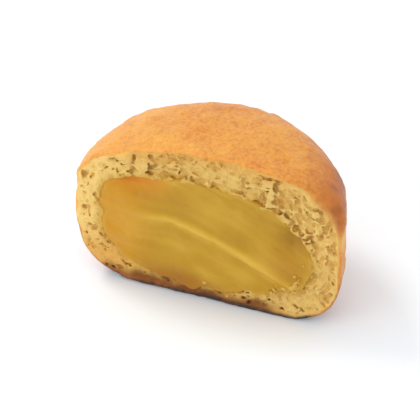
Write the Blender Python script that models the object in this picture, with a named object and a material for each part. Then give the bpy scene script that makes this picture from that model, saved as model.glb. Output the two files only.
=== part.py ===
"""Half of a round filled doughnut, lying on its base with the cut side towards -Y.

Metres, +Z up. The dough is the crust and crumb in one piece, with a pocket that is open at the cut.
The filling is a second piece that fills the pocket and shows at the cut.
The shapes are worked out about the middle of the whole bun, which lies in the plane of the cut.
At the end everything is moved so that the origin is the middle of the footprint, on the resting face.
"""

import math

import bmesh
import bpy
from mathutils import Matrix, Vector, noise

# The bun
HALF_WIDTH = 0.029
DEPTH = 0.0286          # from the cut to the back of the bun
HEIGHT = 0.0386
WAIST = 0.025           # height of the widest level above the base
PRESSED = 0.0008        # how much of the rounded base is pressed flat
CROWN_POWER = 2.3       # 2 is a plain oval, and more is squarer
BASE_POWER = 4.0
CROWN_SHIFT = 0.27      # the crown leans to +X as it rises
CROWN_EASE = 0.003      # height over which the lean sets in
BACK_SHIFT = 0.07       # the back leans to -X as it goes back

# Unevenness of the crust
LUMP_SIZE = 0.55        # bun radii
LUMP_HEIGHT = 0.012     # part of the radius
BAND_LEVEL = -0.06      # the pale band round the waist, as the height of a direction on a unit ball
BAND_SPREAD = 0.13
BAND_HEIGHT = 0.006     # part of the radius

# The filling
FILL_HALF_WIDTH = 0.0226
FILL_DEPTH = 0.0205
FILL_UP = 0.0132
FILL_DOWN = 0.0137
FILL_LEVEL = 0.0171     # height of its middle above the base
FILL_OFFSET = -0.0003
FILL_POWER = 2.5
FILL_SHIFT = 0.25       # its upper part leans to -X
CORNER_ANGLE = math.radians(-48)    # where crumb takes the place of filling, seen from the front
CORNER_SPREAD = math.radians(16)
CORNER_DEPTH = 0.10     # part of the filling's radius
GAP = 0.0003            # between the filling and the dough

# The cut
CUT_CELL = 0.0017
CRUMB_RELIEF = 0.0004
CRUMB_GRAIN = 0.0045
FILL_RELIEF = 0.0003
FILL_GRAIN = 0.009
SMEAR_HEIGHT = 0.0007   # a soft ridge of filling that the knife dragged across
SMEAR_WIDTH = 0.0022
RECESS_DEPTH = 0.0016   # where the filling has sunk back from the crust
DIP_DEPTH = 0.0011
CUTTER_MARGIN = 0.006

# Roundness of the meshes
BUN_SEGMENTS = 84
BUN_RINGS = 42
FILL_SEGMENTS = 56
FILL_RINGS = 28

MODEL = "filled_doughnut_half"
DOUGH_COLOUR = (0.74, 0.33, 0.10, 1.0)
FILLING_COLOUR = (0.58, 0.34, 0.04, 1.0)


def clear_scene():
    for item in list(bpy.data.objects):
        bpy.data.objects.remove(item, do_unlink=True)


def new_collection(name):
    collection = bpy.data.collections.new(name)
    bpy.context.scene.collection.children.link(collection)
    return collection


def new_object(name, bm, collection, parent):
    """Turns a bmesh into a smooth shaded object."""
    bmesh.ops.recalc_face_normals(bm, faces=bm.faces)
    mesh = bpy.data.meshes.new(name)
    bm.to_mesh(mesh)
    bm.free()
    mesh.shade_smooth()
    item = bpy.data.objects.new(name, mesh)
    item.parent = parent
    collection.objects.link(item)
    return item


def new_material(name, colour, roughness):
    material = bpy.data.materials.new(name)
    material.use_nodes = True
    shader = material.node_tree.nodes["Principled BSDF"]
    shader.inputs["Base Color"].default_value = colour
    shader.inputs["Roughness"].default_value = roughness
    shader.inputs["Metallic"].default_value = 0.0
    return material


def bump(value, middle, spread):
    """A smooth hump that is 1 at the middle."""
    return math.exp(-(((value - middle) / spread) ** 2))


def oval_radius(direction, half_width, depth, half_height, power):
    """Distance from the middle of a squarish oval body to its surface, along a direction."""
    level = math.hypot(direction.x / half_width, direction.y / depth)
    rise = abs(direction.z) / half_height
    return (level ** power + rise ** power) ** (-1.0 / power)


def bun_point(direction):
    """A point of the crust, from a direction on the unit ball."""
    if direction.z > 0.0:
        radius = oval_radius(direction, HALF_WIDTH, DEPTH, HEIGHT - WAIST, CROWN_POWER)
    else:
        radius = oval_radius(direction, HALF_WIDTH, DEPTH, WAIST + PRESSED, BASE_POWER)
    lumps = LUMP_HEIGHT * noise.noise(direction / LUMP_SIZE + Vector((2.3, 0.4, 5.1)))
    band = BAND_HEIGHT * bump(direction.z, BAND_LEVEL, BAND_SPREAD)
    point = direction * radius * (1.0 + lumps - band)
    rise = max(point.z, 0.0)
    point.x += CROWN_SHIFT * rise * rise / (rise + CROWN_EASE) - BACK_SHIFT * point.y
    point.z += WAIST
    return point


def filling_point(direction, grow=0.0):
    """A point of the filling's surface, or of a body that is larger all round."""
    half_height = FILL_UP if direction.z > 0.0 else FILL_DOWN
    radius = oval_radius(direction, FILL_HALF_WIDTH, FILL_DEPTH, half_height, FILL_POWER)
    angle = math.atan2(direction.z, direction.x)
    radius *= 1.0 - CORNER_DEPTH * bump(angle, CORNER_ANGLE, CORNER_SPREAD)
    point = direction * (radius + grow)
    point.x += FILL_OFFSET - FILL_SHIFT * max(point.z, 0.0)
    point.z += FILL_LEVEL
    return point


def round_body(name, segments, rings, surface, collection, parent):
    """A closed body whose poles lie on the Y axis, so that its rings run parallel to the cut."""
    bm = bmesh.new()
    bmesh.ops.create_uvsphere(bm, u_segments=segments, v_segments=rings, radius=1.0)
    bmesh.ops.rotate(bm, verts=bm.verts, matrix=Matrix.Rotation(math.pi / 2.0, 3, "X"))
    for vert in bm.verts:
        vert.co = surface(vert.co.normalized())
    return new_object(name, bm, collection, parent)


def crumb_cut(x, z):
    """How far the torn crumb stands behind the plane of the cut."""
    place = Vector((x, 0.0, z)) / CRUMB_GRAIN
    return CRUMB_RELIEF * noise.noise(place) + 0.5 * CRUMB_RELIEF * noise.noise(2.0 * place)


def filling_cut(x, z):
    """How far the filling's face stands behind the plane of the cut."""
    right = x / FILL_HALF_WIDTH
    up = (z - FILL_LEVEL) / FILL_UP
    smear_line = 0.12 - 0.62 * max(right + 0.35, 0.0) ** 1.4
    smear = SMEAR_HEIGHT * bump((up - smear_line) * FILL_UP, 0.0, SMEAR_WIDTH)
    recess = RECESS_DEPTH * bump(right, -0.62, 0.30) * bump(up, 0.85, 0.35)
    dip = DIP_DEPTH * bump(right, 0.78, 0.16) * bump(up, -0.05, 0.30)
    ripple = FILL_RELIEF * noise.noise(Vector((x, 3.0, z)) / FILL_GRAIN)
    return recess + dip + ripple - smear


def knife(name, depth_behind, collection, parent):
    """A block in front of the cut whose back face has the relief of the cut."""
    width = 2.0 * (HALF_WIDTH + CUTTER_MARGIN)
    height = HEIGHT + 2.0 * CUTTER_MARGIN
    bm = bmesh.new()
    columns = round(width / CUT_CELL)
    rows = round(height / CUT_CELL)
    bmesh.ops.create_grid(bm, x_segments=columns, y_segments=rows, size=0.5)
    for vert in bm.verts:
        x = vert.co.x * width
        z = vert.co.y * height + HEIGHT / 2.0
        vert.co = Vector((x, depth_behind(x, z), z))
    front = bmesh.ops.extrude_face_region(bm, geom=bm.faces[:])
    for vert in front["geom"]:
        if isinstance(vert, bmesh.types.BMVert):
            vert.co.y = -DEPTH - CUTTER_MARGIN
    return cutter(new_object(name, bm, collection, parent))


def table(name, collection, parent):
    """A block that presses the base flat."""
    size = 2.0 * (HALF_WIDTH + CUTTER_MARGIN)
    bm = bmesh.new()
    bmesh.ops.create_cube(bm, size=size)
    bmesh.ops.translate(bm, verts=bm.verts, vec=(0.0, 0.0, -size / 2.0))
    return cutter(new_object(name, bm, collection, parent))


def cutter(item):
    item.hide_render = True
    item.display_type = "WIRE"
    return item


def cut(item, tool):
    modifier = item.modifiers.new(tool.name, "BOOLEAN")
    modifier.operation = "DIFFERENCE"
    modifier.solver = "EXACT"
    modifier.object = tool


def make_dough(parts, cutters, root):
    dough = round_body("dough", BUN_SEGMENTS, BUN_RINGS, bun_point, parts, root)
    dough.data.materials.append(new_material("dough", DOUGH_COLOUR, 0.6))
    pocket = round_body(
        "pocket", FILL_SEGMENTS, FILL_RINGS, lambda way: filling_point(way, GAP), cutters, root
    )
    cut(dough, knife("crumb_knife", crumb_cut, cutters, root))
    cut(dough, cutter(pocket))
    cut(dough, table("table", cutters, root))
    return dough


def make_filling(parts, cutters, root):
    filling = round_body("filling", FILL_SEGMENTS, FILL_RINGS, filling_point, parts, root)
    filling.data.materials.append(new_material("filling", FILLING_COLOUR, 0.35))
    cut(filling, knife("filling_knife", filling_cut, cutters, root))
    return filling


def stand_on_origin(root, items):
    """Puts the origin in the middle of the footprint, on the resting face."""
    bpy.context.view_layer.update()
    graph = bpy.context.evaluated_depsgraph_get()
    points = [
        item.matrix_world @ vert.co
        for item in items
        for vert in item.evaluated_get(graph).data.vertices
    ]
    low = Vector(min(point[axis] for point in points) for axis in range(3))
    high = Vector(max(point[axis] for point in points) for axis in range(3))
    root.location = (-(low.x + high.x) / 2.0, -(low.y + high.y) / 2.0, -low.z)
    bpy.context.view_layer.update()


def main():
    clear_scene()
    parts = new_collection(MODEL)
    cutters = new_collection("cutters")
    root = bpy.data.objects.new("middle_of_bun", None)
    parts.objects.link(root)
    dough = make_dough(parts, cutters, root)
    filling = make_filling(parts, cutters, root)
    stand_on_origin(root, (dough, filling))


main()
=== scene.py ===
"""The looks of half a filled doughnut: fried dough with an airy crumb, and a thick yellow cream filling.

The dough and the filling are each worked out as a field of distances on a fine grid, and meshed from it.
Lengths are in millimetres until a mesh is made. The shapes are built about the middle of the whole bun:
the cut lies in the plane y = 0, the body is on the +Y side, and z is the height above the base.
"""

import math

import bpy
import numpy as np
import openvdb
from mathutils import Matrix, Vector


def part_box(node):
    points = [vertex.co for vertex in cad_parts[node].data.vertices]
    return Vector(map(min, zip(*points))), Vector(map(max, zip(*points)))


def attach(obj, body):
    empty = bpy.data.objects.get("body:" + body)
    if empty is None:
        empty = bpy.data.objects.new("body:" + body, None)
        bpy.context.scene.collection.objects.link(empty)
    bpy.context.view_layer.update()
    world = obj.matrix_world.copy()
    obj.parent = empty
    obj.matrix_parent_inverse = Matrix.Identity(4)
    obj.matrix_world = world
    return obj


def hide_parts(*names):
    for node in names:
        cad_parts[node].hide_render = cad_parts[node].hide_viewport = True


MM = 0.001

# ---------------------------------------------------------------------------------------------
# The frame, and the sizes that come from it
# ---------------------------------------------------------------------------------------------

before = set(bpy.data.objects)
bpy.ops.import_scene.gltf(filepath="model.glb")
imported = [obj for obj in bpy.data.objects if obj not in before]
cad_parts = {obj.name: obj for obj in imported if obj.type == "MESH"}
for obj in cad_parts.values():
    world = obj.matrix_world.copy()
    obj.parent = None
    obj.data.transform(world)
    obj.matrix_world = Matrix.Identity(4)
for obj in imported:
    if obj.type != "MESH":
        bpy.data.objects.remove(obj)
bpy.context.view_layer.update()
dough_low, dough_high = (np.array(corner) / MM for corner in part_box("dough"))

HALF_WIDTH = (dough_high[0] - dough_low[0]) / 2.0
HEIGHT = dough_high[2]
DEPTH = 0.985 * HALF_WIDTH          # from the cut to the back
WAIST = 0.648 * HEIGHT              # level of the widest girth
PRESSED = 0.8                       # how far the rounded base is pressed flat
CROWN_POWER = 2.3                   # 2 is a plain oval, and more is squarer
BASE_POWER = 4.0
CROWN_SHIFT = 0.27                  # the crown leans to +X as it rises
CROWN_EASE = 3.0
BACK_SHIFT = 0.07                   # the back leans to -X as it goes back

FILL_HALF_WIDTH = 0.779 * HALF_WIDTH
FILL_DEPTH = 0.707 * HALF_WIDTH
FILL_UP = 0.342 * HEIGHT
FILL_DOWN = 0.355 * HEIGHT
FILL_LEVEL = 0.443 * HEIGHT
FILL_OFFSET = -0.3
FILL_POWER = 2.5
FILL_SHIFT = 0.25                   # its upper part leans to -X
CORNER_ANGLE = math.radians(-48)    # where crumb takes the place of filling, seen from the front
CORNER_SPREAD = math.radians(16)
CORNER_DEPTH = 0.10                 # part of the filling's radius

VOXEL = 0.2
MARGIN = 1.2                        # room around the bodies inside the grid
SEED = 7


# ---------------------------------------------------------------------------------------------
# Smooth noise and simple curves
# ---------------------------------------------------------------------------------------------

LATTICE = 32


def noise(x, y, z, size, seed):
    """Smooth noise, mostly between -1 and 1, whose humps are about one size apart."""
    table = np.random.default_rng(seed).uniform(-1.0, 1.0, (LATTICE,) * 3).astype(np.float32)
    cells, parts = [], []
    for value in (x, y, z):
        place = np.asarray(value, np.float32) / np.float32(size)
        cell = np.floor(place)
        part = place - cell
        cells.append(cell.astype(np.int32) % LATTICE)
        parts.append(part * part * (3.0 - 2.0 * part))
    total = 0.0
    for corner in range(8):
        weight = 1.0
        index = []
        for axis in range(3):
            step = (corner >> axis) & 1
            index.append((cells[axis] + step) % LATTICE)
            weight = weight * (parts[axis] if step else 1.0 - parts[axis])
        total = total + weight * table[tuple(index)]
    return 1.5 * total


def hump(value, middle, spread):
    """1 at the middle, falling smoothly to 0."""
    return np.exp(-(((value - middle) / spread) ** 2))


def ramp(value, start, end):
    """0 before start, 1 after end, smooth between."""
    part = np.clip((value - start) / (end - start), 0.0, 1.0)
    return part * part * (3.0 - 2.0 * part)


def blend_max(a, b, width):
    """The larger of two fields, rounded where they meet."""
    part = np.clip(width - np.abs(a - b), 0.0, None) / width
    return np.maximum(a, b) + part * part * width / 4.0


# ---------------------------------------------------------------------------------------------
# The two bodies as fields: negative inside, in millimetres
# ---------------------------------------------------------------------------------------------


def unlean(x, y, z):
    """The place before the crown's and the back's lean, about the middle of the bun."""
    rise = np.maximum(z - WAIST, 0.0)
    return x - CROWN_SHIFT * rise * rise / (rise + CROWN_EASE) + BACK_SHIFT * y, y, z - WAIST


def bun_gauge(x, y, z):
    """1 on the crust, less inside, more outside."""
    x, y, z = unlean(x, y, z)
    level = np.hypot(x / HALF_WIDTH, y / DEPTH)
    crown = (level ** CROWN_POWER + (np.abs(z) / (HEIGHT - WAIST)) ** CROWN_POWER) ** (1.0 / CROWN_POWER)
    base = (level ** BASE_POWER + (np.abs(z) / (WAIST + PRESSED)) ** BASE_POWER) ** (1.0 / BASE_POWER)
    return np.where(z > 0.0, crown, base)


def slope(gauge, x, y, z, step=0.3):
    """How fast a gauge changes per millimetre."""
    here = gauge(x, y, z)
    parts = (
        gauge(x + step, y, z) - here,
        gauge(x, y + step, z) - here,
        gauge(x, y, z + step) - here,
    )
    return here, np.sqrt(sum(part * part for part in parts)) / step


def band_level(x, y):
    """Height of the pale band, which stayed out of the oil on both sides, as a part of the height."""
    return 0.60 + 0.02 * noise(x, y, 0 * x, 11.0, SEED + 5)


def rolled(x, z):
    """Where the knife rolled the crust over the edge of the cut: the upper right shoulder."""
    return ramp(x / HALF_WIDTH, 0.58, 0.86) * hump(z / HEIGHT, 0.82, 0.15)


def crust_lumps(x, y, z):
    """How far the crust stands out from the smooth bun."""
    broad = 0.30 * noise(x, y, z, 16.0, SEED + 1)
    middle = 0.12 * noise(x, y, z, 6.0, SEED + 2)
    fine = 0.07 * noise(x, y, z, 2.0, SEED + 3) + 0.04 * noise(x, y, z, 0.9, SEED + 7)
    blisters = 0.16 * ramp(noise(x, y, z, 2.8, SEED + 4), 0.62, 1.05)
    level = z / HEIGHT - band_level(x, y)
    band = 0.16 * hump(level, 0.0, 0.06)
    wrinkle = 0.08 * hump(level, 0.0, 0.14) * noise(x, y, 4.0 * z, 4.5, SEED + 6)
    return broad + middle + fine + blisters - band + wrinkle


def crust_distance(x, y, z):
    gauge, rate = slope(bun_gauge, x, y, z)
    return (gauge - 1.0) / rate - crust_lumps(x, y, z)


def filling_gauge(x, y, z):
    rise = np.maximum(z - FILL_LEVEL, 0.0)
    x = x - FILL_OFFSET + FILL_SHIFT * rise
    z = z - FILL_LEVEL
    level = np.hypot(x / FILL_HALF_WIDTH, y / FILL_DEPTH)
    height = np.where(z > 0.0, FILL_UP, FILL_DOWN)
    gauge = (level ** FILL_POWER + (np.abs(z) / height) ** FILL_POWER) ** (1.0 / FILL_POWER)
    return gauge / (1.0 - CORNER_DEPTH * hump(np.arctan2(z, x), CORNER_ANGLE, CORNER_SPREAD))


def filling_distance(x, y, z):
    gauge, rate = slope(filling_gauge, x, y, z)
    ragged = 0.45 * noise(x, y, z, 3.6, SEED + 10) + 0.22 * noise(x, y, z, 1.5, SEED + 11)
    return (gauge - 1.0) / rate - ragged


# ---------------------------------------------------------------------------------------------
# The cut
# ---------------------------------------------------------------------------------------------


def crumb_face(x, z):
    """How far the crumb's face stands behind the plane of the cut, pores left out."""
    flat = 0 * x
    depth = np.minimum((1.0 - bun_gauge(x, flat, z)) * WAIST, z)
    broad = 0.35 * noise(x, flat, z, 7.0, SEED + 20)
    torn = 0.32 * noise(x, flat, z, 2.4, SEED + 21)
    grain = 0.26 * noise(x, flat, z, 1.0, SEED + 22)
    broad = broad * (0.3 + 0.7 * ramp(z, 0.5, 7.0))
    return 0.10 + broad + (torn + grain) * (0.2 + 0.8 * ramp(depth, 0.5, 2.2))


# On the filling's face, places are in half widths and in FILL_UP from its middle, heights in millimetres
SMEAR_START = -0.35                 # where the long smear starts to drop
SMEAR_LEVEL = 0.20
SMEAR_DROP = 0.64
SMEAR_POWER = 1.3
SMEAR_HEIGHT = 0.55
RECESS_DEPTH = 2.6                  # at the upper left, where the filling has sunk back
DIP_RIGHT = 0.80                    # a small dip beside the right rim
DIP_DEPTH = 1.7


def smear_offset(x, z):
    """Height above the line along which the knife dragged the filling."""
    right = x / FILL_HALF_WIDTH
    line = SMEAR_LEVEL - SMEAR_DROP * np.maximum(right - SMEAR_START, 0.0) ** SMEAR_POWER
    return z - FILL_LEVEL - line * FILL_UP


def filling_face(x, z):
    """How far the filling's face stands behind the plane of the cut."""
    flat = 0 * x
    right = x / FILL_HALF_WIDTH
    up = (z - FILL_LEVEL) / FILL_UP
    offset = smear_offset(x, z)
    smear = SMEAR_HEIGHT * hump(offset, 0.0, 1.5) * ramp(right, -0.95, -0.4)
    below = 0.35 * ramp(offset, -1.0, -7.0)
    streaks = 0.09 * noise(0.22 * x, flat, offset, 1.6, SEED + 30)
    streaks = streaks + 0.06 * noise(0.15 * x, flat, offset, 0.7, SEED + 34)
    recess = RECESS_DEPTH * hump(right, -0.70, 0.22) * hump(up, 0.80, 0.26)
    dip = DIP_DEPTH * hump(right, DIP_RIGHT, 0.13) * hump(up, 0.34, 0.22)
    dents = 0.14 * noise(x, flat, z, 3.0, SEED + 32) + 0.07 * noise(x, flat, z, 1.2, SEED + 33)
    swell = 0.35 * noise(x, flat, z, 8.0, SEED + 31)
    return 0.10 + recess + dip + dents + swell + streaks - smear - below


# ---------------------------------------------------------------------------------------------
# Grids and meshes
# ---------------------------------------------------------------------------------------------


class Grid:
    """An evenly spaced grid of points, with a field on it."""

    def __init__(self, low, high):
        self.low = np.array(low, float)
        self.count = np.ceil((np.array(high) - self.low) / VOXEL).astype(int) + 1
        axes = [self.low[i] + VOXEL * np.arange(self.count[i]) for i in range(3)]
        self.x, self.y, self.z = (a.astype(np.float32) for a in np.meshgrid(*axes, indexing="ij"))
        self.field = None

    def mesh(self):
        return surface(self.field, VOXEL, self.low)


def surface(field, voxel, low):
    """Corners in millimetres, and four-sided faces, where a field on an even grid is 0."""
    grid = openvdb.FloatGrid()
    grid.copyFromArray(np.ascontiguousarray(field, dtype=np.float32))
    points, faces = grid.convertToQuads(isovalue=0.0)
    return points.astype(float) * voxel + low, faces.astype(np.int64)


def largest_part(points, faces):
    """Keeps the biggest connected piece, and drops sealed bubbles and loose bits."""
    label = np.arange(len(points))
    ends = np.concatenate([np.stack([faces[:, i], faces[:, (i + 1) % 4]], 1) for i in range(4)])
    while True:
        low = np.minimum(label[ends[:, 0]], label[ends[:, 1]])
        new = label.copy()
        np.minimum.at(new, ends[:, 0], low)
        np.minimum.at(new, ends[:, 1], low)
        new = new[new]
        if np.array_equal(new, label):
            break
        label = new
    biggest = np.bincount(label).argmax()
    kept = label == biggest
    place = np.cumsum(kept) - 1
    return points[kept], place[faces[kept[faces[:, 0]]]]


def new_piece(name, points, faces):
    """A smooth shaded mesh object in metres, from corners in millimetres and four-sided faces."""
    mesh = bpy.data.meshes.new(name)
    mesh.vertices.add(len(points))
    mesh.vertices.foreach_set("co", (points * MM).astype(np.float32).ravel())
    mesh.loops.add(faces.size)
    mesh.loops.foreach_set("vertex_index", faces.astype(np.int32).ravel())
    mesh.polygons.add(len(faces))
    mesh.polygons.foreach_set("loop_start", np.arange(0, faces.size, faces.shape[1], dtype=np.int32))
    mesh.update(calc_edges=True)
    mesh.validate()
    mesh.shade_smooth()
    piece = bpy.data.objects.new(name, mesh)
    bpy.context.scene.collection.objects.link(piece)
    return piece


def corners(piece):
    """The piece's corners in millimetres, as x, y and z."""
    values = np.zeros(len(piece.data.vertices) * 3, np.float32)
    piece.data.vertices.foreach_get("co", values)
    return (values.reshape(-1, 3).astype(float) / MM).T


def thin_out(piece, triangles):
    """Merges faces where the surface is smooth, until about that many triangles are left."""
    modifier = piece.modifiers.new("thin", "DECIMATE")
    modifier.ratio = triangles / (2 * len(piece.data.polygons))
    graph = bpy.context.evaluated_depsgraph_get()
    thinned = bpy.data.meshes.new_from_object(piece.evaluated_get(graph))
    piece.modifiers.remove(modifier)
    old = piece.data
    piece.data = thinned
    bpy.data.meshes.remove(old)
    piece.data.shade_smooth()


def store(piece, name, values):
    """Keeps one number for each corner, for the material to read."""
    attribute = piece.data.attributes.new(name, "FLOAT", "POINT")
    attribute.data.foreach_set("value", np.clip(values, 0.0, 1.0).astype(np.float32))


# ---------------------------------------------------------------------------------------------
# Dough
# ---------------------------------------------------------------------------------------------

NEAR = 2.2                          # detail is worked out only this near to the crust
POCKET_NEAR = 1.6                   # and this near to the filling
FAR_RISE = 20.0                     # further off, a field only rises by this for each unit of its gauge
POCKET_FAR_RISE = 10.0
LEAN_ROOM = 1.5                     # the crown leans past the half width
BASE_ROUNDING = 0.6
POCKET_ROUNDING = 0.5
PORE_REACH = 3.6                    # pores are cut this far behind the cut
PORE_WARP = 0.35
EDGE_ROUNDING = 0.8                 # of the crust where the knife went through
ROLLED_ROUNDING = 4.5               # more of it where the knife rolled the crust over
ROLLED_CRUST = 2.2                  # and how much further pores stay from the crust there
PORE_SETS = (                       # how many, smallest and largest radius, deepest middle
    (9500, 0.18, 0.36, 0.9),
    (1300, 0.34, 0.62, 0.8),
    (45, 0.65, 1.00, 0.7),
)
PORE_SKIN = 0.75                    # crust without pores
BASE_SKIN = 0.9                     # more of it over the base
PORE_ROUNDING = 0.32
PORE_ROOM = 0.9                     # around a pore, for its warp and its rounding
DOUGH_TRIANGLES = 190000


def carve_pores(grid):
    """Cuts open bubbles into the crumb, long along the crust, as the dough rose under it.

    There are fewer of them at the left and over the base, where the crumb is dense.
    """
    slab = slice(0, int((PORE_REACH - grid.low[1]) / VOXEL))
    x, y, z = grid.x[:, slab], grid.y[:, slab], grid.z[:, slab]
    warp = [PORE_WARP * noise(x, y, z, 1.7, SEED + 40 + i) for i in range(3)]
    warped = (x + warp[0], y + warp[1], z + warp[2])
    field = grid.field[:, slab]
    rng = np.random.default_rng(SEED)
    for count, smallest, largest, deepest in PORE_SETS:
        radius = smallest + (largest - smallest) * rng.random(count) ** 1.8
        cx = rng.uniform(-HALF_WIDTH, HALF_WIDTH + 1.0, count)
        cy = rng.uniform(-0.2, deepest, count)
        cz = rng.uniform(0.5, HEIGHT, count)
        stretch = rng.uniform(1.0, 1.9, count)
        depth = -crust_distance(cx, cy, cz) - ROLLED_CRUST * rolled(cx, cz)
        below = np.minimum(depth, cz - BASE_SKIN)
        clear = filling_distance(cx, cy, cz)
        dense = np.maximum(ramp(cx / HALF_WIDTH, -0.4, -0.8), ramp(cz, 8.0, 3.5))
        radius *= 1.0 - 0.15 * dense
        tilt_x = bun_gauge(cx + 0.5, cy, cz) - bun_gauge(cx - 0.5, cy, cz)
        tilt_z = bun_gauge(cx, cy, cz + 0.5) - bun_gauge(cx, cy, cz - 0.5)
        length = np.hypot(tilt_x, tilt_z) + 1e-9
        tilt_x, tilt_z = tilt_x / length, tilt_z / length
        kept = rng.random(count) > 0.65 * dense
        chosen = kept & (below > radius * 1.1 + PORE_SKIN) & (clear > 0.2)
        for i in np.flatnonzero(chosen):
            reach = radius[i] * stretch[i] + PORE_ROOM
            middle = np.array((cx[i], cy[i], cz[i]))
            first = np.maximum(((middle - reach - grid.low) / VOXEL).astype(int), 0)
            last = ((middle + reach - grid.low) / VOXEL).astype(int) + 2
            block = tuple(slice(a, b) for a, b in zip(first, last))
            dx, dy, dz = (axis[block] - value for axis, value in zip(warped, middle))
            across = dx * tilt_x[i] + dz * tilt_z[i]
            along = (dz * tilt_x[i] - dx * tilt_z[i]) / stretch[i]
            hollow = radius[i] - np.sqrt(across * across + along * along + dy * dy)
            field[block] = blend_max(field[block], hollow, PORE_ROUNDING)


def make_dough():
    reach = HALF_WIDTH + LEAN_ROOM + MARGIN
    grid = Grid((-reach, -1.6, -MARGIN), (reach, DEPTH + MARGIN, HEIGHT + MARGIN))
    x, y, z = grid.x, grid.y, grid.z
    gauge = bun_gauge(x, y, z)
    field = ((gauge - 1.0) * FAR_RISE).astype(np.float32)
    near = np.abs(gauge - 1.0) * HALF_WIDTH < NEAR
    field[near] = crust_distance(x[near], y[near], z[near])
    base_wave = 0.10 * noise(x[..., :1], y[..., :1], 0 * x[..., :1], 5.0, SEED + 8) - 0.10
    field = blend_max(field, -z - base_wave, BASE_ROUNDING)
    face = crumb_face(x[:, :1, :], z[:, :1, :])
    rounding = EDGE_ROUNDING + ROLLED_ROUNDING * rolled(x[:, :1, :], z[:, :1, :])
    field = blend_max(field, face - y, rounding)
    gauge = filling_gauge(x, y, z)
    pocket = ((1.0 - gauge) * POCKET_FAR_RISE).astype(np.float32)
    near = np.abs(gauge - 1.0) * FILL_HALF_WIDTH < POCKET_NEAR
    pocket[near] = -filling_distance(x[near], y[near], z[near])
    grid.field = blend_max(field, pocket, POCKET_ROUNDING)
    carve_pores(grid)
    points, faces = largest_part(*grid.mesh())
    piece = new_piece("dough_half", points, faces)
    thin_out(piece, DOUGH_TRIANGLES)
    return piece


def crust_browning_and_shade(x, y, z):
    """How dark each place of the crust is: about 0 in the pale band, and 1 on the dark base. Mostly the
    frying's browning, with painted shade on the right shoulder and on the right of the pale band.
    """
    level = z / HEIGHT
    right = x / HALF_WIDTH
    patches = 0.05 * noise(x, y, z, 9.0, SEED + 50) + 0.04 * noise(x, y, z, 3.0, SEED + 51)
    crown = 0.36 + 0.08 * ramp(right, -0.6, 0.6)
    # Darker upper right shoulder: partly browning, partly painted shade on the side away from the light.
    shoulder_brown_and_shade = 0.36 * ramp(right + 0.3 * y / DEPTH, 0.66, 0.92) * hump(level, 0.78, 0.14)
    back = 0.22 * ramp(y / DEPTH, 0.35, 1.0) * hump(level, 0.70, 0.16)
    lower = 0.24 * ramp(level, 0.44, 0.20)
    base = 0.48 * ramp(level + 0.015 * noise(x, y, z, 3.5, SEED + 52), 0.12, 0.0)
    band = hump(level, band_level(x, y), 0.075 - 0.025 * right)
    # Painted shade: the pale band is dimmed on the right, the side away from the light.
    band = band * (0.9 - 0.3 * ramp(right, 0.6, 0.95))
    return (crown + shoulder_brown_and_shade + back + lower + patches) * (1.0 - band) + base


def colour_dough(piece):
    """Stores where the crust, the base and each kind of crumb lie, each from 0 to 1, with painted shade
    in the pores and painted light on the crumb's left wall.
    """
    x, y, z = corners(piece)
    below = -crust_distance(x, y, z)
    below = np.minimum(below, z)
    brown_and_shade = crust_browning_and_shade(x, y, z)
    uneven = 0.22 * noise(x, y, z, 2.2, SEED + 55)
    scorched = ramp(z, 3.5, 1.5) * (1.0 - 0.6 * ramp(x, 14.0, 24.0))
    thickness = 0.55 + 0.90 * scorched + 1.9 * rolled(x, z) + uneven
    store(piece, "brown_and_shade", brown_and_shade)
    store(piece, "crust", 1.0 - ramp(below, 0.45 * thickness, 1.4 * thickness))
    store(piece, "soak", ramp(z + 2.0 * uneven, 5.0, 1.6) * ramp(x, 18.0, 10.0))
    # Painted shade: the crumb is coloured darker deep in the pores, the deeper the darker.
    store(piece, "pore", (y - crumb_face(x, z)) / 1.3)
    store(piece, "stain", hump(filling_distance(x, y, z) + uneven, 0.0, 1.3))
    toast = np.maximum(ramp(below, 4.5, 0.6), ramp(z, 17.0, 8.0) * ramp(x, -10.0, -20.0))
    store(piece, "toast", 0.65 * toast * (1.0 - 0.9 * ramp(x / HALF_WIDTH, 0.45, 0.75)))
    # Paler crumb at the left wall: partly its own paler colour, partly painted light on the side facing
    # the lamp.
    pale_and_lit_left = ramp(x / HALF_WIDTH, -0.45, -0.9) * ramp(z / HEIGHT, 0.15, 0.4)
    pale_right = 0.45 * ramp(x / HALF_WIDTH, 0.55, 0.8) * hump(z / HEIGHT, 0.60, 0.2)
    store(piece, "pale", pale_and_lit_left + pale_right)


# ---------------------------------------------------------------------------------------------
# Filling
# ---------------------------------------------------------------------------------------------

OVERLAP = 0.35                      # how far the filling reaches into the crumb
FACE_ROUNDING = 0.7
FILLING_TRIANGLES = 80000


def make_filling():
    low = (-FILL_HALF_WIDTH - 2.5, -2.2, FILL_LEVEL - FILL_DOWN - 2.0)
    high = (FILL_HALF_WIDTH + 2.5, FILL_DEPTH + 2.0, FILL_LEVEL + FILL_UP + 2.0)
    grid = Grid(low, high)
    x, y, z = grid.x, grid.y, grid.z
    body = filling_distance(x, y, z) - OVERLAP
    face = filling_face(x[:, :1, :], z[:, :1, :])
    grid.field = blend_max(body, face - y, FACE_ROUNDING)
    points, faces = largest_part(*grid.mesh())
    piece = new_piece("filling_half", points, faces)
    thin_out(piece, FILLING_TRIANGLES)
    return piece


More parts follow.
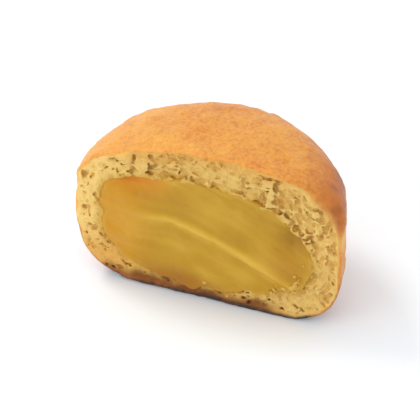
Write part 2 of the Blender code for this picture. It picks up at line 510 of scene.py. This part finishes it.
def colour_filling(piece):
    """Stores the lightness of the filling and where its other colours lie, each from 0 to 1, with a
    painted highlight along the smear and painted shade in the recess and the dip.
    """
    x, y, z = corners(piece)
    right = x / FILL_HALF_WIDTH
    up = (z - FILL_LEVEL) / FILL_UP
    offset = smear_offset(x, z)
    # Painted highlight: the filling is made lighter along the ridge the knife dragged.
    smear = 0.36 * hump(offset, -0.2, 1.2) * ramp(right, -0.9, -0.4)
    drag = 0.06 * noise(0.22 * x, 0 * x, offset, 1.6, SEED + 60)
    tone_and_highlight = 0.50 + smear + drag + 0.10 * noise(x, y, z, 6.0, SEED + 61)
    store(piece, "tone_and_highlight", tone_and_highlight)
    # Painted shade: deep orange in the recess at the upper left, where the filling has sunk back; the
    # left part is also a warmer orange.
    orange_and_recess_shade = hump(right, -0.68, 0.24) * hump(up, 0.84, 0.24)
    store(piece, "orange_and_recess_shade", orange_and_recess_shade + 0.42 * ramp(right, -0.40, -0.95))
    # Painted shade: a darker olive colour in the dip beside the right rim.
    store(piece, "dip_shade", hump(right, DIP_RIGHT, 0.13) * hump(up, 0.36, 0.20))
    store(piece, "amber", 0.6 * hump(right, 0.76, 0.24) * hump(up, -0.20, 0.40))
    store(piece, "edge", 0.4 * hump(filling_distance(x, y, z), 0.3, 0.8))
    store(piece, "red", 0.8 * hump(right, -0.35, 0.5) * ramp(up, -0.70, -1.0))


# ---------------------------------------------------------------------------------------------
# Loose crumbs
# ---------------------------------------------------------------------------------------------

CRUMBS = 14
CRUMB_VOXEL = 0.09
CRUMB_RADII = (0.3, 0.75)
CRUMB_ANGLE_SPREAD = 0.30           # radians about the corner
CRUMB_SHARES = (0.86, 1.04)         # how far out they lie: 1 is the rim of the filling
CRUMB_SUNK = 0.35                   # part of the radius


def torn_lump(radius, rng):
    """A crumb: a few balls run together, worn uneven, about the origin."""
    reach = 2.2 * radius
    axis = np.arange(-reach, reach, CRUMB_VOXEL)
    x, y, z = np.meshgrid(axis, axis, axis, indexing="ij")
    field = np.full(x.shape, reach)
    for _ in range(4):
        cx, cy, cz = rng.uniform(-0.6, 0.6, 3) * radius
        ball = np.sqrt((x - cx) ** 2 + (y - cy) ** 2 + (z - cz) ** 2) - rng.uniform(0.4, 0.7) * radius
        field = -blend_max(-field, -ball, 0.3 * radius)
    uneven = 0.12 * noise(x, y, z, 0.5, SEED + 70) + 0.08 * noise(x, y, z, 0.25, SEED + 71)
    points, faces = surface(field + uneven * (radius / 0.5), CRUMB_VOXEL, np.full(3, -reach))
    return largest_part(points, faces)


def make_crumbs():
    """Crumbs that the knife dragged onto the filling, round its lower right."""
    rng = np.random.default_rng(SEED + 1)
    all_points, all_faces, start = [], [], 0
    for _ in range(CRUMBS):
        angle = rng.normal(CORNER_ANGLE, CRUMB_ANGLE_SPREAD)
        share = rng.uniform(*CRUMB_SHARES)
        radius = rng.uniform(*CRUMB_RADII)
        x = share * FILL_HALF_WIDTH * math.cos(angle)
        z = share * FILL_DOWN * math.sin(angle)
        size = float(filling_gauge(np.array(x + FILL_OFFSET), np.array(0.0), np.array(z + FILL_LEVEL)))
        x, z = np.array(x * share / size + FILL_OFFSET), np.array(z * share / size + FILL_LEVEL)
        y = np.minimum(filling_face(x, z), crumb_face(x, z))
        points, faces = torn_lump(radius, rng)
        all_points.append(points + np.array((x, y + CRUMB_SUNK * radius, z)))
        all_faces.append(faces + start)
        start += len(points)
    return new_piece("crumbs", np.concatenate(all_points), np.concatenate(all_faces))


# ---------------------------------------------------------------------------------------------
# Materials
# ---------------------------------------------------------------------------------------------


def srgb(red, green, blue):
    """A colour as seen on a screen, 0 to 255, turned to the linear values that Blender takes."""
    values = []
    for value in (red, green, blue):
        part = value / 255.0
        values.append(part / 12.92 if part <= 0.04045 else ((part + 0.055) / 1.055) ** 2.4)
    return (*values, 1.0)


PALE_BAND = srgb(236, 192, 110)
CRUST_LIGHT = srgb(235, 170, 66)
CRUST_GOLD = srgb(228, 151, 50)
CRUST_BROWN = srgb(198, 110, 14)
CRUST_DEEP = srgb(140, 72, 14)
CRUST_BASE = srgb(52, 27, 10)
CRUMB_PALE_AND_LIT = srgb(244, 206, 120)
CRUMB_LIGHT = srgb(236, 199, 120)
CRUMB_GOLD = srgb(223, 182, 90)
CRUMB_TOASTED = srgb(226, 164, 70)
CRUMB_STAINED = srgb(206, 160, 56)
CRUMB_SOAKED = srgb(136, 79, 16)
PORE_SHADE = srgb(208, 154, 64)
FILL_SHADE = srgb(168, 121, 4)
FILL_YELLOW = srgb(184, 139, 8)
FILL_LIGHT_AND_HIGHLIGHT = srgb(214, 172, 56)
FILL_ORANGE_AND_RECESS_SHADE = srgb(214, 138, 0)
FILL_AMBER = srgb(178, 124, 12)
FILL_DIP_SHADE = srgb(164, 118, 6)
FILL_RED = srgb(158, 94, 4)


class Material:
    """A Principled material whose nodes are added one call at a time."""

    def __init__(self, name, subsurface, subsurface_scale, subsurface_radius):
        self.material = bpy.data.materials.new(name)
        self.material.use_nodes = True
        self.tree = self.material.node_tree
        self.shader = self.tree.nodes["Principled BSDF"]
        self.shader.inputs["Subsurface Weight"].default_value = subsurface
        self.shader.inputs["Subsurface Scale"].default_value = subsurface_scale
        self.shader.inputs["Subsurface Radius"].default_value = subsurface_radius
        self.place = self.tree.nodes.new("ShaderNodeTexCoord").outputs["Object"]

    def put(self, socket, value):
        if isinstance(value, bpy.types.NodeSocket):
            self.tree.links.new(value, socket)
        else:
            socket.default_value = value

    def attribute(self, name):
        node = self.tree.nodes.new("ShaderNodeAttribute")
        node.attribute_name = name
        return node.outputs["Fac"]

    def noise(self, size, detail=2.0, roughness=0.5):
        """Noise between 0 and 1 whose humps are about one size apart, in millimetres."""
        node = self.tree.nodes.new("ShaderNodeTexNoise")
        self.put(node.inputs["Vector"], self.place)
        node.inputs["Scale"].default_value = 1.0 / (size * MM)
        node.inputs["Detail"].default_value = detail
        node.inputs["Roughness"].default_value = roughness
        return node.outputs["Fac"]

    def cells(self, size):
        """Small rounded blisters, 0 at their tops, whose middles are about one size apart."""
        node = self.tree.nodes.new("ShaderNodeTexVoronoi")
        node.feature = "SMOOTH_F1"
        self.put(node.inputs["Vector"], self.place)
        node.inputs["Scale"].default_value = 1.0 / (size * MM)
        return self.math("MULTIPLY", node.outputs["Distance"], -0.6)

    def math(self, operation, first, second):
        node = self.tree.nodes.new("ShaderNodeMath")
        node.operation = operation
        self.put(node.inputs[0], first)
        self.put(node.inputs[1], second)
        return node.outputs[0]

    def between(self, value, low, high):
        """Turns 0 to 1 into low to high."""
        node = self.tree.nodes.new("ShaderNodeMapRange")
        self.put(node.inputs["Value"], value)
        node.inputs["To Min"].default_value = low
        node.inputs["To Max"].default_value = high
        return node.outputs["Result"]

    def clamped(self, value):
        node = self.tree.nodes.new("ShaderNodeClamp")
        self.put(node.inputs["Value"], value)
        return node.outputs["Result"]

    def steps(self, value, *stops):
        """A colour ramp: each stop is a place from 0 to 1 and a colour."""
        node = self.tree.nodes.new("ShaderNodeValToRGB")
        ramp_stops = node.color_ramp.elements
        while len(ramp_stops) < len(stops):
            ramp_stops.new(0.5)
        for element, (place, colour) in zip(ramp_stops, stops):
            element.position = place
            element.color = colour
        self.put(node.inputs["Fac"], value)
        return node.outputs["Color"]

    def mix(self, share, first, second, kind="MIX"):
        node = self.tree.nodes.new("ShaderNodeMix")
        node.data_type = "RGBA"
        node.blend_type = kind
        self.put(node.inputs["Factor"], share)
        self.put(node.inputs["A"], first)
        self.put(node.inputs["B"], second)
        return next(o for o in node.outputs if o.type == "RGBA")

    def blend(self, share, first, second):
        """Blends two numbers."""
        node = self.tree.nodes.new("ShaderNodeMix")
        self.put(node.inputs["Factor"], share)
        self.put(node.inputs["A"], first)
        self.put(node.inputs["B"], second)
        return node.outputs["Result"]

    def bump(self, height, distance, strength):
        node = self.tree.nodes.new("ShaderNodeBump")
        node.inputs["Strength"].default_value = strength
        node.inputs["Distance"].default_value = distance * MM
        self.put(node.inputs["Height"], height)
        self.put(self.shader.inputs["Normal"], node.outputs["Normal"])

    def speckle(self, colour, size, low, high):
        """Makes a colour a little lighter and darker in turn."""
        shade = self.between(self.noise(size), low, high)
        grey = self.tree.nodes.new("ShaderNodeCombineColor")
        for channel in ("Red", "Green", "Blue"):
            self.put(grey.inputs[channel], shade)
        return self.mix(1.0, colour, grey.outputs["Color"], "MULTIPLY")


def dough_material():
    m = Material("fried_dough", 0.12, 0.0015, (1.0, 0.7, 0.45))
    crustiness = m.attribute("crust")
    patches = m.between(m.noise(3.5, 4.0, 0.6), -0.20, 0.20)
    # Browning of the crust, with painted shade on the right shoulder and on the right of the pale band.
    brown_and_shade = m.attribute("brown_and_shade")
    room = m.clamped(m.math("MULTIPLY", brown_and_shade, m.math("SUBTRACT", 0.75, brown_and_shade)))
    specks = m.math("MULTIPLY", m.clamped(m.between(m.noise(0.8, 3.0, 0.6), -2.9, 3.5)), room)
    browning_and_shade = m.math("ADD", m.math("ADD", brown_and_shade, patches), specks)
    crust = m.steps(
        browning_and_shade,
        (0.02, PALE_BAND), (0.25, CRUST_LIGHT), (0.45, CRUST_GOLD),
        (0.72, CRUST_BROWN), (0.88, CRUST_DEEP), (1.0, CRUST_BASE),
    )
    crust = m.speckle(crust, 0.9, 0.88, 1.08)
    crumb = m.mix(m.noise(1.8, 3.0), CRUMB_LIGHT, CRUMB_GOLD)
    crumb = m.mix(m.attribute("toast"), crumb, CRUMB_TOASTED)
    # Paler crumb: its own colour at the right, and partly painted light on the left wall.
    crumb = m.mix(m.attribute("pale"), crumb, CRUMB_PALE_AND_LIT)
    crumb = m.mix(m.math("MULTIPLY", m.attribute("stain"), 0.75), crumb, CRUMB_STAINED)
    # Painted shade: darker colour deep in the pores.
    crumb = m.mix(m.math("MULTIPLY", m.attribute("pore"), 0.6), crumb, PORE_SHADE)
    crumb = m.mix(m.attribute("soak"), crumb, CRUMB_SOAKED)
    crumb = m.speckle(crumb, 0.5, 0.93, 1.05)
    m.put(m.shader.inputs["Base Color"], m.mix(crustiness, crumb, crust))
    sheen_patches = m.between(m.noise(4.0, 3.0), 0.30, 0.60)
    m.put(m.shader.inputs["Roughness"], m.blend(crustiness, 0.85, sheen_patches))
    crumb_grain = m.math("SUBTRACT", m.noise(0.5, 3.0, 0.6), m.cells(0.8))
    crust_grain = m.math("ADD", m.noise(0.8, 4.0, 0.65), m.cells(1.3))
    m.bump(m.blend(crustiness, crumb_grain, crust_grain), 0.5, 0.9)
    return m.material


def filling_material():
    m = Material("cream_filling", 0.2, 0.002, (1.0, 0.7, 0.3))
    cloud = m.between(m.noise(4.0, 2.0), -0.10, 0.10)
    # Lightness of the filling: random tone plus a painted highlight along the smear.
    tone_and_highlight = m.math("ADD", m.attribute("tone_and_highlight"), cloud)
    colour = m.steps(tone_and_highlight, (0.2, FILL_SHADE), (0.5, FILL_YELLOW), (0.95, FILL_LIGHT_AND_HIGHLIGHT))
    # Painted shade in the upper left recess, and a warmer orange at the left.
    colour = m.mix(m.attribute("orange_and_recess_shade"), colour, FILL_ORANGE_AND_RECESS_SHADE)
    colour = m.mix(m.attribute("amber"), colour, FILL_AMBER)
    # Painted shade in the dip.
    colour = m.mix(m.attribute("dip_shade"), colour, FILL_DIP_SHADE)
    colour = m.mix(m.attribute("edge"), colour, CRUMB_STAINED)
    colour = m.mix(m.attribute("red"), colour, FILL_RED)
    m.put(m.shader.inputs["Base Color"], colour)
    m.shader.inputs["Specular IOR Level"].default_value = 0.35
    m.put(m.shader.inputs["Roughness"], m.between(m.noise(3.2, 2.0), 0.30, 0.55))
    m.bump(m.noise(1.6, 2.0), 0.25, 0.22)
    return m.material


def crumb_material():
    m = Material("loose_crumb", 0.15, 0.001, (1.0, 0.6, 0.3))
    colour = m.mix(m.noise(0.8, 2.0), CRUMB_GOLD, CRUMB_STAINED)
    m.put(m.shader.inputs["Base Color"], m.speckle(colour, 0.4, 0.85, 1.05))
    m.put(m.shader.inputs["Roughness"], m.between(m.noise(0.6), 0.7, 0.9))
    m.bump(m.noise(0.3, 3.0), 0.12, 0.5)
    return m.material


# ---------------------------------------------------------------------------------------------
# The set: floor, light and camera
# ---------------------------------------------------------------------------------------------

FLOOR_WHITE = (0.91, 0.95, 0.99, 1.0)
WORLD_STRENGTH = 0.96
KEY_PLACE = (-0.42, 0.10, 0.62)
KEY_SIZE = 0.22
KEY_WATTS = 1.5
SIDE_PLACE = (-0.50, -0.65, 0.45)
SIDE_SIZE = 0.60
SIDE_WATTS = 1.3
LAMP_TARGET = (0.0, 0.0, 0.015)
VIEW_AZIMUTH = math.radians(19.8)
VIEW_ELEVATION = math.radians(41.0)
VIEW_DISTANCE = 1.06
VIEW_WIDTH = 0.087                  # what the picture's width shows at the object
VIEW_RIGHT = 0.0005                 # from the middle of the cut's lower edge to the middle of the view
VIEW_UP = 0.0187
SENSOR = 36.0
FLOOR_SIZE = 6.0


def make_floor():
    bpy.ops.mesh.primitive_plane_add(size=FLOOR_SIZE)
    floor = bpy.context.object
    floor.name = "floor"
    material = bpy.data.materials.new("floor")
    material.use_nodes = True
    shader = material.node_tree.nodes["Principled BSDF"]
    shader.inputs["Base Color"].default_value = FLOOR_WHITE
    shader.inputs["Roughness"].default_value = 0.7
    shader.inputs["Specular IOR Level"].default_value = 0.2
    floor.data.materials.append(material)


def aim(item, target):
    item.rotation_euler = (Vector(target) - item.location).to_track_quat("-Z", "Y").to_euler()


def make_lamp(name, place, size, power):
    light = bpy.data.lights.new(name, "AREA")
    light.shape = "DISK"
    light.size = size
    light.energy = power
    lamp = bpy.data.objects.new(name, light)
    bpy.context.scene.collection.objects.link(lamp)
    lamp.location = place
    aim(lamp, LAMP_TARGET)


def make_light():
    world = bpy.data.worlds.new("studio")
    world.use_nodes = True
    background = world.node_tree.nodes["Background"]
    background.inputs["Color"].default_value = (1.0, 1.0, 1.0, 1.0)
    background.inputs["Strength"].default_value = WORLD_STRENGTH
    bpy.context.scene.world = world
    make_lamp("key", KEY_PLACE, KEY_SIZE, KEY_WATTS)
    make_lamp("side", SIDE_PLACE, SIDE_SIZE, SIDE_WATTS)


def make_camera(base):
    """base is the middle of the cut's lower edge, in metres."""
    sin_a, cos_a = math.sin(VIEW_AZIMUTH), math.cos(VIEW_AZIMUTH)
    sin_e, cos_e = math.sin(VIEW_ELEVATION), math.cos(VIEW_ELEVATION)
    back = Vector((sin_a * cos_e, -cos_a * cos_e, sin_e))
    right = Vector((cos_a, sin_a, 0.0))
    up = back.cross(right)
    target = base + VIEW_RIGHT * right + VIEW_UP * up
    data = bpy.data.cameras.new("camera")
    data.sensor_width = SENSOR
    data.lens = SENSOR * VIEW_DISTANCE / VIEW_WIDTH
    data.clip_start = 0.01
    camera = bpy.data.objects.new("camera", data)
    bpy.context.scene.collection.objects.link(camera)
    camera.location = target + back * VIEW_DISTANCE
    aim(camera, target)
    bpy.context.scene.camera = camera


# ---------------------------------------------------------------------------------------------
# Putting it together
# ---------------------------------------------------------------------------------------------


def main():
    dough = make_dough()
    filling = make_filling()
    crumbs = make_crumbs()
    colour_dough(dough)
    colour_filling(filling)
    x, y, z = corners(dough)
    middle = (dough_low[0] + dough_high[0]) / 2.0
    shift = np.array((middle - (x.min() + x.max()) / 2.0, dough_high[1] - y.max(), -z.min())) * MM
    pieces = (
        (dough, "dough", dough_material()),
        (filling, "filling", filling_material()),
        (crumbs, "dough", crumb_material()),
    )
    for piece, slot, material in pieces:
        piece.data.transform(Matrix.Translation(shift))
        piece.data.materials.append(material)
        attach(piece, "root")
    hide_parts("dough")
    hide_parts("filling")
    make_floor()
    make_light()
    make_camera(Vector(shift))
    bpy.context.scene.view_settings.view_transform = "Standard"


main()
